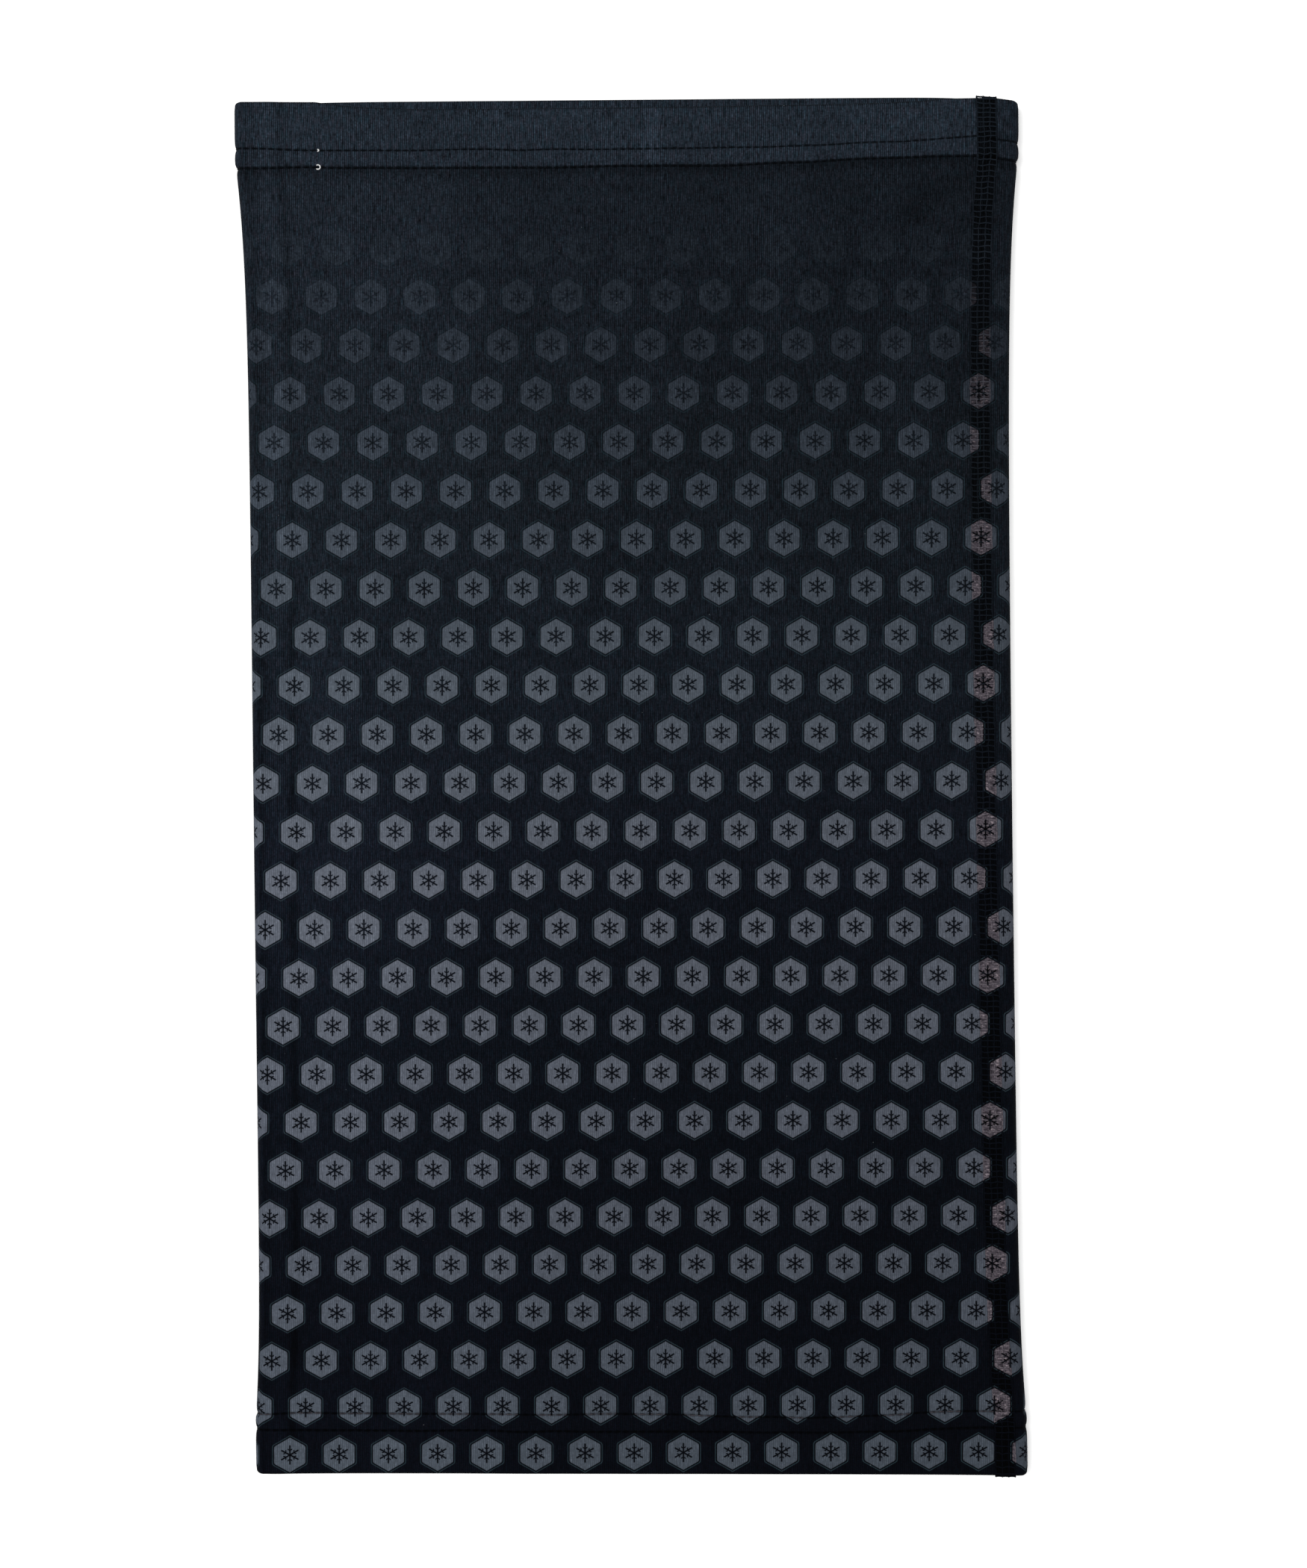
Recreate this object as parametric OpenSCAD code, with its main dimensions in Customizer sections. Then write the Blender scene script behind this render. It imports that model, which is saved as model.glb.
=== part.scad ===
// Neck gaiter: a tube of printed knit cloth, lying flat on a table.
// Two equal panels, each hemmed at both ends, are joined by two flat side seams.
// Millimetres. X runs across the tube, Y along it towards the top hem, Z up from the table.

/* [Tube] */
// Width of the tube as it lies, from fold to fold
tube_w = 242; // [200:1:260]
// Length of the tube, from hem edge to hem edge
tube_l = 432; // [300:1:500]
// Height of the tube as it lies, outside to outside
lying_h = 8.6; // [8.4:0.1:9.6]

/* [Cloth] */
// Thickness of one ply of the knit cloth
ply = 0.7; // [0.6:0.05:0.8]

/* [Hems] */
// Depth of the top hem, from its folded edge to its raw edge inside
top_hem = 22.5; // [22:0.5:30]
// Distance from the top edge to the nearer of the top hem's two stitch rows
top_row = 15; // [10:0.5:15]
// Depth of the bottom hem, from its folded edge to its raw edge inside
bottom_hem = 20; // [20:0.5:30]
// Distance from the bottom edge to the nearer of the bottom hem's two stitch rows
bottom_row = 12.5; // [10:0.5:12.5]
// Distance between the two needle rows of a hem
row_gap = 6; // [4:0.2:6.4]
// Length of one hem stitch
hem_stitch = 2.6; // [2.4:0.1:3.2]

/* [Side seams] */
// Distance from the fold to the middle of the side seam
seam_in = 8.8; // [8.8:0.1:14]
// Distance between the outer two of a seam's four needle rows
needle_span = 6; // [4.8:0.1:6.2]
// Length of one seam stitch
seam_stitch = 1.8; // [1.6:0.05:2.2]
// How far the trimmed thread chain sticks out past the hem edge
tail = 0.9; // [0.5:0.1:1.5]

/* [Hidden] */
seam_sides = ["right", "left"];
faces = ["front", "back"];
needles = 4;
$fn = 64;

fold_r = lying_h / 2;              // outer radius of the side folds
flat_x = tube_w / 2 - fold_r;      // where the flat cloth turns into the fold
seam_x = tube_w / 2 - seam_in;     // middle of the seam, where the two panels meet
half_l = tube_l / 2;
ply_gap = 0.1;                     // air between the two plies of a hem
hem_t = 2 * ply + ply_gap;         // thickness of a hem
bend_r = ply + ply_gap / 2;        // outer radius of the hem's own fold
butt_gap = 0.1;                    // gap between the panels' edges under the seam
past = 1;                          // how far a cutter reaches past what it cuts

thread_w = 0.34;                   // width of a thread as it lies
thread_t = 0.2;                    // thickness of a thread, pressed flat
clear = 0.02;                      // air between a thread and what it lies on
groove_d = 0.3;                    // depth that a hem's needle row is pulled into the cloth
groove_w = thread_w + 4 * clear;
channel_d = 2 * thread_t + 3 * clear;             // depth of the channel that a seam's threads lie in
channel_z = lying_h - channel_d;
needle_gap = needle_span / (needles - 1);
rung_half = needle_span / 2 + thread_w + clear;   // the cover thread turns just outside the outer needles
seam_half = rung_half + thread_w / 2 + 2 * clear;

top_rows = [half_l - top_row, half_l - top_row - row_gap];
bottom_rows = [bottom_row - half_l, bottom_row + row_gap - half_l];

cloth_colour = [0.10, 0.12, 0.15];
thread_colour = [0.05, 0.06, 0.08];

// ---- Cloth ----

// Section along the tube: x = 0 is the outer face and -x is inwards, y runs along the tube.
// It is sunk where the seam's threads press it down, and elsewhere grooved by the hems' needle rows.
module long_section(sunk = 0) {
    difference() {
        union() {
            translate([-ply, bend_r - half_l]) square([ply, tube_l - 2 * bend_r]);
            hem_section(top_hem);
            mirror([0, 1]) hem_section(bottom_hem);
        }
        if (sunk > 0)
            translate([-sunk, -half_l - past]) square([sunk + past, tube_l + 2 * past]);
        else
            for (row = concat(top_rows, bottom_rows))
                translate([-groove_d, row - groove_w / 2]) square([groove_d + past, groove_w]);
    }
}

// The turn at the edge, and the ply that it folds back inside.
module hem_section(depth) {
    translate([-bend_r, half_l - bend_r]) intersection() {
        difference() {
            circle(bend_r);
            circle(ply_gap / 2);
        }
        translate([-bend_r - past, 0]) square([2 * (bend_r + past), bend_r + past]);
    }
    translate([-hem_t, half_l - depth]) square([ply, depth - bend_r]);
}

// A section drawn along x, on the top layer, on the bottom layer or round the left fold.
module on_top(x0, x1) {
    translate([x1, 0, lying_h]) rotate([0, -90, 0]) linear_extrude(x1 - x0) children();
}

module on_bottom(x0, x1) {
    translate([x0, 0, 0]) rotate([0, 90, 0]) linear_extrude(x1 - x0) children();
}

module round_fold() {
    translate([-flat_x, 0, fold_r]) rotate([-90, 0, 0]) rotate([0, 0, 90])
        rotate_extrude(angle = 180) translate([fold_r, 0]) children();
}

// The front panel: the top layer from the right seam to the left fold, and on to the left seam beneath.
module panel() {
    color(cloth_colour) union() {
        on_top(seam_x - seam_half, seam_x - butt_gap / 2) long_section(channel_d);
        on_top(-flat_x, seam_x - seam_half) long_section();
        round_fold() long_section();
        on_bottom(-flat_x, -seam_x - seam_half) long_section();
        on_bottom(-seam_x - seam_half, -seam_x - butt_gap / 2) long_section(channel_d);
    }
}

// The back is the same as the front, turned over.
module turned_over() {
    translate([0, 0, lying_h]) rotate([0, 180, 0]) children();
}

// ---- Threads ----

function reversed(list) = [for (i = [len(list) - 1:-1:0]) list[i]];
function unit(v) = v / norm(v);
function left_of(v) = [-v.y, v.x];

// The points at distance d to the left of a line, mitred at its corners.
function beside(line, d) = let (last = len(line) - 1) [for (i = [0:last])
    let (before = left_of(unit(line[max(i, 1)] - line[max(i, 1) - 1])),
        after = left_of(unit(line[min(i, last - 1) + 1] - line[min(i, last - 1)])))
    line[i] + d * (before + after) / (1 + before * after)];

// A line drawn with a pen of width w.
module stroke(line, w) {
    polygon(concat(beside(line, w / 2), reversed(beside(line, -w / 2))));
}

// A thread's way to and fro between x = -a and x = a, in n rungs that start at y0 and step on along y.
function to_and_fro(a, y0, step, n) = [for (i = [0:n - 1], turn = [0, 1])
    [(i + turn) % 2 == 0 ? -a : a, y0 + i * step]];

// Distance s runs round the panel's outer face from seam to seam, and u outwards from that face.
top_run = seam_x - seam_half + flat_x;
fold_run = PI * fold_r;
bottom_run = flat_x - seam_x - seam_half;
hem_run = top_run + fold_run + bottom_run;

function round_panel(s, u) =
    s < top_run ? [seam_x - seam_half - s, lying_h + u]
    : s > top_run + fold_run ? [s - top_run - fold_run - flat_x, -u]
    : let (a = (s - top_run) / fold_run * 180)
        [-flat_x - (fold_r + u) * sin(a), fold_r + (fold_r + u) * cos(a)];

// One needle thread of a hem: it rises in the middle of each stitch and dips where the needle went in.
module hem_needle_thread(row) {
    under = 2 * clear - groove_d;
    stitches = round(hem_run / hem_stitch);
    turns = $fn / 2;
    upper = [for (i = [0:2 * stitches])
        round_panel(i * hem_run / stitches / 2, i % 2 == 0 ? under + thread_t * 0.7 : -clear)];
    round_fold = [for (i = [0:turns]) round_panel(top_run + fold_run * i / turns, under)];
    lower = concat([round_panel(0, under)], round_fold, [round_panel(hem_run, under)]);
    color(thread_colour) translate([0, row + thread_w / 2, 0]) rotate([90, 0, 0])
        linear_extrude(thread_w) polygon(concat(upper, reversed(lower)));
}

// The looper thread inside a hem: to and fro between the two rows, then round the fold along one of them.
module hem_looper_thread(rows) {
    rungs = 2 * floor(top_run / hem_stitch / 2) + 1;
    step = top_run / rungs;
    depth = hem_t + clear;
    side_y = max(rows) - thread_w / 2;
    lay = to_and_fro(row_gap / 2, step / 2, step, rungs);
    color(thread_colour) union() {
        translate([-flat_x, (rows[0] + rows[1]) / 2, lying_h - depth - thread_t]) rotate([0, 0, -90])
            linear_extrude(thread_t) stroke(concat([[-row_gap / 2, 0]], lay), thread_w);
        round_fold() translate([-depth - thread_t, side_y]) square([thread_t, thread_w]);
        translate([-flat_x, side_y, depth]) cube([bottom_run, thread_w, thread_t]);
    }
}

// The threads of the seam on the top layer, which all run past the hems by the tail.
seam_l = tube_l + 2 * tail;
seam_rungs = floor((seam_l - thread_w) / seam_stitch);
first_rung = -(seam_rungs - 1) * seam_stitch / 2;

// One needle thread of a seam: it runs under the cover thread's rungs and swells between them.
module seam_needle_thread(k) {
    low = channel_z + clear;
    flat_half = thread_w / 2 + 2 * clear;
    swell = [[flat_half, 0], [seam_stitch / 2, thread_t], [seam_stitch - flat_half, 0]];
    upper = [for (i = [0:seam_rungs - 2], p = swell)
        [first_rung + i * seam_stitch + p[0], low + thread_t + p[1]]];
    ends = [[seam_l / 2, low + thread_t], [seam_l / 2, low],
        [-seam_l / 2, low], [-seam_l / 2, low + thread_t]];
    color(thread_colour) translate([seam_x + (k - (needles + 1) / 2) * needle_gap - thread_w / 2, 0, 0])
        rotate([90, 0, 90]) linear_extrude(thread_w) polygon(concat(upper, ends));
}

// The cover thread outside a seam, laid to and fro over the four needle threads.
module seam_cover_thread() {
    color(thread_colour) translate([seam_x, 0, lying_h - clear - thread_t]) linear_extrude(thread_t)
        stroke(to_and_fro(rung_half, first_rung, seam_stitch, seam_rungs), thread_w);
}

// The looper thread inside a seam, which steps down to the hem's inner ply near both ends.
module seam_looper_thread() {
    body_z = lying_h - ply - clear - thread_t;
    hem_z = lying_h - hem_t - clear - thread_t;
    bottom_n = ceil((bottom_hem - half_l + thread_w - first_rung) / seam_stitch) + 1;
    top_n = ceil((top_hem - half_l + thread_w - first_rung) / seam_stitch) + 1;
    bottom_y = first_rung + (bottom_n - 1) * seam_stitch;
    top_y = -first_rung - (top_n - 1) * seam_stitch;
    body_n = seam_rungs - bottom_n - top_n + 2;
    color(thread_colour) translate([seam_x, 0, 0]) union() {
        translate([0, 0, body_z]) linear_extrude(thread_t)
            stroke(to_and_fro(rung_half, bottom_y, seam_stitch, body_n), thread_w);
        translate([0, 0, hem_z]) linear_extrude(thread_t) {
            stroke(to_and_fro(rung_half, first_rung, seam_stitch, bottom_n), thread_w);
            stroke(to_and_fro(rung_half, top_y, seam_stitch, top_n), thread_w);
        }
        for (y = [bottom_y, top_y])
            translate([rung_half - thread_w / 2, y - thread_w / 2, hem_z])
                cube([thread_w, thread_w, hem_t - ply]);
    }
}

// ---- Nodes ----

panel();  // front_panel
turned_over() panel();  // back_panel

for (k = [1:needles]) {
    seam_needle_thread(k);
    turned_over() seam_needle_thread(k);
}
seam_cover_thread();  // right_seam_cover_thread
turned_over() seam_cover_thread();  // left_seam_cover_thread
seam_looper_thread();  // right_seam_looper_thread
turned_over() seam_looper_thread();  // left_seam_looper_thread

for (hem = [["top", top_rows], ["bottom", bottom_rows]]) {
    for (row = [["outer", hem[1][0]], ["inner", hem[1][1]]]) {
        thread = str(hem[0], "_hem_", row[0], "_needle_thread");
        hem_needle_thread(row[1]);
        turned_over() hem_needle_thread(row[1]);
    }
    looper = str(hem[0], "_hem_looper_thread");
    hem_looper_thread(hem[1]);
    turned_over() hem_looper_thread(hem[1]);
}
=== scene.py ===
# A printed knit neck gaiter lying flat: two hemmed panels, their sewing threads, and the print on them.
import math
import bmesh
import bpy
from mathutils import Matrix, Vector, noise


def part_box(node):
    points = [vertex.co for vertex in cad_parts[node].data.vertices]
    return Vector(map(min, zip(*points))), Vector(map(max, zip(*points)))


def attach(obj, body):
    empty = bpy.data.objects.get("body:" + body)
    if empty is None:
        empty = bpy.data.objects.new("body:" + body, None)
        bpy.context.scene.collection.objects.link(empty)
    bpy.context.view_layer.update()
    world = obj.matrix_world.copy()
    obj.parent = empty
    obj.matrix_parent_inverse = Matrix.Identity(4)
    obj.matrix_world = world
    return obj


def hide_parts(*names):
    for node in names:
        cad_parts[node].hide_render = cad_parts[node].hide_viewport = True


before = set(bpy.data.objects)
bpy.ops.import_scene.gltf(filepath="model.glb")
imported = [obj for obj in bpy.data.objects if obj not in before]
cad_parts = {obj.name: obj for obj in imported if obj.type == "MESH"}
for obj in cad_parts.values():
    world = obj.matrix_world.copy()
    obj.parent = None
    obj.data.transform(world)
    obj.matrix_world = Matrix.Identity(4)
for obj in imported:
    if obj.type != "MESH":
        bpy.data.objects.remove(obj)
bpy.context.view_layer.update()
print("frame:", len(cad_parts), "CAD nodes")

# sizes that come from the frame, in metres: x runs across the tube, y along it, z up
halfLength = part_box("front_panel")[1].y
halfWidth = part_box("back_panel")[1].x
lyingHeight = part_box("front_panel")[1].z


def middleY(node):
    low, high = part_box(node)
    return (low.y + high.y) / 2


topRows = [middleY(f"front_top_hem_{row}_needle_thread") for row in ("outer", "inner")]
bottomRows = [middleY(f"front_bottom_hem_{row}_needle_thread") for row in ("outer", "inner")]
allRows = topRows + bottomRows

# how the soft tube lies
lie = {
    "waist": 0.0012,         # each side fold stands this far in, at the waist
    "topFlare": 0.0036,      # and this far out again below the top hem
    "topReach": 0.030,
    "bottomFlare": 0.0018,
    "bottomReach": 0.022,
    "hemStep": 0.0004,       # the hems hold the cloth a little wider still
    "hemStepReach": 0.002,
    "notch": 0.00025,        # pinch in the fold at each row of stitches
    "notchReach": 0.0012,
    "corner": 0.0006,        # the hems' corners are rounded off
    "cornerReach": 0.0022,
    "lean": -0.0115,         # slope of the tube's middle line
    "bow": 0.011,
    "fan": 0.025,            # the right side is longer than the left
    "foldReach": 0.0024,     # how far a side fold takes to turn over
    "slump": 0.0017,         # the middle sinks this far below the folds
    "ripple": 0.0005,
    "seamInset": 0.0086,
    "seamDrift": 0.0068,     # the seams run closer to their folds further down
    "seamLap": 0.00012,      # the panels' edges just overlap under the seam
    "seamRidge": 0.00035,
    "seamRidgeReach": 0.0035,
}

cloth = {
    "ply": 0.00062,
    "plyGap": 0.00016,
    "topHemDepth": 0.0215,   # length of cloth turned in
    "bottomHemDepth": 0.0190,
    "frayed": 0.001,         # the turned-in edge has frayed back this far
    "groove": 0.00030,       # how deep a row of stitches pulls the cloth in
    "grooveReach": 0.00045,
    "puffDip": 0.00012,      # the softer hollow on both sides of a row
    "puffReach": 0.0022,
    "foldFullness": 1.05,    # the fold takes a little more cloth than its arc
    "stitchColumns": 3,      # mesh columns in one hem stitch
    "foldColumns": 12,
    "stripColumns": 5,
    "awayFromSeams": 0.02,   # the seams' map on a fold
    "bodyLines": 76,         # mesh lines between the hems
    "turnedLines": 4,
    "edgeLines": 5,
    "marginLines": 7,
    "besideRow": (0.0016, 0.001, 0.0006, 0.0003),
    "betweenRows": 0.0029,
    "belowRows": (0.0026, 0.0045, 0.007),
}
hemThickness = 2 * cloth["ply"] + cloth["plyGap"]
bendRadius = (cloth["ply"] + cloth["plyGap"]) / 2
turnY = halfLength - cloth["ply"] / 2 - bendRadius


def ease(x):
    x = min(1.0, max(0.0, x))
    return x * x * (3 - 2 * x)


def bump(x, reach):
    return math.exp(-(x / reach) ** 2)


def mix(a, b, share):
    return a + (b - a) * share


def midline(y):
    return lie["lean"] * y + lie["bow"] * y * y


def smoothSpan(y):
    below, above = max(0.0, topRows[1] - y), max(0.0, y - bottomRows[1])
    span = halfWidth - lie["waist"]
    span += lie["topFlare"] * math.exp(-below / lie["topReach"])
    return span + lie["bottomFlare"] * math.exp(-above / lie["bottomReach"])


def halfSpan(y):
    span = smoothSpan(y)
    intoTop = ease((y - topRows[1]) / lie["hemStepReach"])
    intoBottom = ease((bottomRows[1] - y) / lie["hemStepReach"])
    span += lie["hemStep"] * (intoTop + 0.5 * intoBottom)
    span -= lie["corner"] * max(0.0, (abs(y) - halfLength) / lie["cornerReach"] + 1) ** 3
    return span - sum(lie["notch"] * bump(y - row, lie["notchReach"]) for row in allRows)


def seamLine(y, side):
    # side 1 is the front's seam by the right fold, -1 the back's by the left fold
    return midline(y) + side * (smoothSpan(y) - lie["seamInset"] - lie["seamDrift"] * y)


def frontHeight(x, y):
    across = (x - midline(y)) / halfSpan(y)
    soft = noise.noise(Vector((x * 17, y * 13, 4.2))) + 0.4 * noise.noise(Vector((x * 45, y * 40, 1.7)))
    ridges = sum(bump(x - seamLine(y, side), lie["seamRidgeReach"]) for side in (1, -1))
    return (lyingHeight - lie["slump"] * (1 - abs(across) ** 5)
            + lie["ripple"] * soft * max(0.0, 1 - across ** 2) + lie["seamRidge"] * ridges)


def backHeight(x, y):
    return lie["seamRidge"] * bump(x - seamLine(y, -1), lie["seamRidgeReach"])


# the seam below shows through the front as painted light and shade: its strength high up, what it gains low
# down, its place, its reach
seamReliefShade = [
    (0.8, -0.7, -0.0008, 0.0030),    # a lit ridge
    (-1.2, -1.1, 0.0042, 0.0014),    # a sharp dark line
    (-0.9, -1.3, -0.0072, 0.0040),   # a dim strip beyond
]
# painted light and shade of creases in the front: a lit and a dark line down the middle, a light band in the
# top hem, a dark slanting wrinkle
creaseShade = {
    "lowFrom": 0.14,
    "lowRun": 0.18,
    "middleTop": (0.14, 0.04),       # the middle crease dies away here, over this run
    "middleBottom": (-0.02, 0.05),
    "lit": (0.5, 0.0012, 0.0013),    # down the middle: strength, place and reach
    "dark": (-0.7, -0.0014, 0.0012),
    "inHem": (2.0, 0.0058, 0.0024),
    "slant": (-1.4, 0.0854, 0.1773, 0.54, 0.0035),   # strength, a point on it, its slope and its reach
}


def press(x, y):
    # how much lighter or darker the front is painted, as painted light and shade of the seam below it and of
    # its creases
    off = x - seamLine(y, -1)
    low = ease((creaseShade["lowFrom"] - y) / creaseShade["lowRun"])
    shown = sum((strength + gain * low) * bump(off - at, reach) for strength, gain, at, reach in seamReliefShade)
    (top, topRun), (bottom, bottomRun) = creaseShade["middleTop"], creaseShade["middleBottom"]
    middle = ease((top - y) / topRun) * ease((y - bottom) / bottomRun)
    for strength, at, reach in (creaseShade["lit"], creaseShade["dark"]):
        shown += middle * strength * bump(x - at, reach)
    strength, at, reach = creaseShade["inHem"]
    shown += strength * bump(x - at, reach) * ease((y - topRows[1]) / 0.004)
    strength, slantX, slantY, slope, reach = creaseShade["slant"]
    besideSlant = y - slantY - slope * (x - slantX)
    ends = ease((x - slantX + 0.0074) / 0.012) * ease((topRows[1] - y) / 0.006)
    return shown + strength * bump(besideSlant, reach) * ends


# how far the edge, the outer row and the inner row of a hem stray from straight
stray = {
    "waver": 0.0005,
    "waverScale": 65,
    "recede": 0.0021,        # the front's top edge lies behind the back's
    "recedeTo": 0.100,
    "recedeTilt": 3.2,
    "outerClimb": 0.0035,    # the front's top rows climb to the right
    "outerFrom": 0.005,
    "outerRun": 0.104,
    "outerLevel": -0.0003,
    "outerLeft": 0.0006,
    "innerClimb": 0.0029,
    "innerFrom": 0.012,
    "innerRun": 0.095,
    "innerLevel": 0.0002,
    "reach": 0.0014,         # the back's top edge reaches out past the front's
    "reachTo": 0.1125,
    "tilt": 0.003,
    "dropFrom": 0.1135,      # the back's top corner by the right fold turns down
    "dropSlope": 0.14,
    "innerDropSlope": 0.16,
    "backFrom": 0.085,
    "backRun": 0.025,
    "backOuter": 0.0021,
    "backInner": 0.0025,
    "bottomEdge": -0.0011,
    "bottomFrom": 0.065,
    "bottomRun": 0.045,
    "bottomOuter": 0.0017,
    "bottomInner": 0.0020,
    "bottomOuterLevel": -0.0002,
    "bottomInnerLevel": -0.0008,
    "bottomEnds": 0.0005,
    "bottomDip": 0.0008,
    "bottomDipAt": 0.05,
    "bottomDipReach": 0.03,
}


def shifts(front, top, x):
    outer, inner = [stray["waver"] * noise.noise(Vector((x * stray["waverScale"], seed, 0.3)))
                    for seed in (2.5, 7.5)]
    if top and front:
        edge = -stray["recede"] * max(0.0, 1 - (x / stray["recedeTo"]) ** 6) * (1 - stray["recedeTilt"] * x)
        outer += stray["outerClimb"] * (max(0.0, x - stray["outerFrom"]) / stray["outerRun"]) ** 2
        outer += stray["outerLevel"] + stray["outerLeft"] * ease((-x - 0.1) / 0.02)
        inner += stray["innerClimb"] * ease((x - stray["innerFrom"]) / stray["innerRun"])
        inner += stray["innerLevel"]
    elif top:
        drop = max(0.0, x - stray["dropFrom"])
        climb = ease((x - stray["backFrom"]) / stray["backRun"])
        edge = max(0.0, 1 - (x / stray["reachTo"]) ** 14) * (stray["reach"] + stray["tilt"] * x)
        edge -= stray["dropSlope"] * drop
        outer += stray["backOuter"] * climb - stray["dropSlope"] * drop
        inner += stray["backInner"] * climb - stray["innerDropSlope"] * drop
    else:
        climb = ease((x - stray["bottomFrom"]) / stray["bottomRun"])
        edge = stray["bottomEdge"] + stray["tilt"] * x
        outer += stray["bottomOuter"] * climb + stray["bottomOuterLevel"]
        outer += stray["bottomEnds"] * (x / halfWidth) ** 4
        inner += stray["bottomInner"] * climb + stray["bottomInnerLevel"]
        inner -= stray["bottomDip"] * bump(x - stray["bottomDipAt"], stray["bottomDipReach"])
    return edge, outer, inner


def settle(front, x, y):
    # where the cloth's straight line y comes to lie at x
    top = y > 0
    outerRow, innerRow = [abs(row) for row in (topRows if top else bottomRows)]
    edge, outer, inner = shifts(front, top, x)
    reach = abs(y)
    if reach > outerRow:
        shift = mix(outer, edge, (reach - outerRow) / (halfLength - outerRow))
    elif reach > innerRow:
        shift = mix(inner, outer, (reach - innerRow) / (outerRow - innerRow))
    else:
        shift = inner * ease(1 - (innerRow - reach) / 0.09)
    return y + shift + lie["fan"] * x * y


def ring(front, s, y, depth):
    # once round a panel: s runs 0 to 1 over its broad face, to 2 round its fold, to 3 up to the other seam
    side = -1 if front else 1
    edge = midline(y) + side * (halfSpan(y) - lie["foldReach"])
    if 1 < s < 2:
        high, low = frontHeight(edge, y), backHeight(edge, y)
        turn = (s - 1) * math.pi
        x = edge + side * (lie["foldReach"] - depth) * math.sin(turn)
        return x, (high + low) / 2 - side * ((high - low) / 2 - depth) * math.cos(turn)
    if s <= 1:
        x = mix(seamLine(y, -side) - side * lie["seamLap"], edge, s)
    else:
        x = mix(edge, seamLine(y, side) - side * lie["seamLap"], s - 2)
    onTop = front == (s <= 1)
    return x, frontHeight(x, y) - depth if onTop else backHeight(x, y) + depth


def throughHem(t):
    # t runs along the cloth, round the hem's edge and back inside: where that is, and how deep
    end, past = math.copysign(1, t), abs(t) - turnY
    if past <= 0:
        return t, cloth["ply"] / 2
    if past < math.pi * bendRadius:
        a = past / bendRadius
        return end * (turnY + bendRadius * math.sin(a)), cloth["ply"] / 2 + bendRadius * (1 - math.cos(a))
    return end * (turnY - past + math.pi * bendRadius), cloth["ply"] / 2 + 2 * bendRadius


hemStitch = {
    "length": 0.0026,
    "foldStitches": 4,
    "firstHole": 0.35,   # in stitches from the seam
    "lastHole": 2.45,
}
faceRun = 2 * halfWidth - lie["seamInset"] - lie["foldReach"]
faceStitches = round(faceRun / hemStitch["length"])


def dent(s, y):
    # rows of stitches pull the cloth in, most where the needle went through
    total = 0.0
    for row in allRows:
        if abs(y - row) < 0.008:
            pull = 0.8 + 0.2 * math.cos(2 * math.pi * s * faceStitches) if s < 1 else 1.0
            total += cloth["groove"] * pull * bump(y - row, cloth["grooveReach"])
            total += cloth["puffDip"] * bump(y - row, cloth["puffReach"])
    return total


def place(front, s, y, depth):
    x, z = ring(front, s, y, depth)
    return Vector((x, settle(front, x, y), z))


lightLevel = 1.37   # what a white, level surface gets from the lights


def shade(red, green, blue):
    # a surface colour from the way it should appear, 0 to 255
    def linear(c):
        c /= 255
        return (c / 12.92 if c < 0.04045 else ((c + 0.055) / 1.055) ** 2.4) / lightLevel
    return linear(red), linear(green), linear(blue), 1.0


# how fine each kind of unevenness is: per metre across and along the cloth, its detail, and its seed
grain = {
    "sway": (90, 260, 1.0, 3.0),
    "fuzz": (2600, 1900, 1.0, 13.0),
    "speck": (1900, 300, 2.0, 17.0),
    "hue": (1500, 350, 1.0, 29.0),
    "broad": (26, 9, 2.0, 11.0),
    "folds": (75, 60, 2.0, 23.0),
    "mottle": (650, 1500, 2.0, 5.0),
    "fibreGlint": (1100, 1100, 1.0, 31.0),
    "ragged": (500, 300, 2.0, 41.0),
    "thread": (1500, 1500, 2.0, 2.0),
    "twist": (2500, 2500, 1.0, 9.0),
}


class Signal:
    # a node's output that can be used in sums
    def __init__(self, look, socket):
        self.look = look
        self.socket = socket

    def __add__(self, other):
        return self.look.math("ADD", self, other)

    def __radd__(self, other):
        return self.look.math("ADD", other, self)

    def __sub__(self, other):
        return self.look.math("SUBTRACT", self, other)

    def __rsub__(self, other):
        return self.look.math("SUBTRACT", other, self)

    def __mul__(self, other):
        return self.look.math("MULTIPLY", self, other)

    def __rmul__(self, other):
        return self.look.math("MULTIPLY", other, self)

    def __truediv__(self, other):
        return self.look.math("DIVIDE", self, other)

    def __abs__(self):
        return self.look.math("ABSOLUTE", self)


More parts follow.
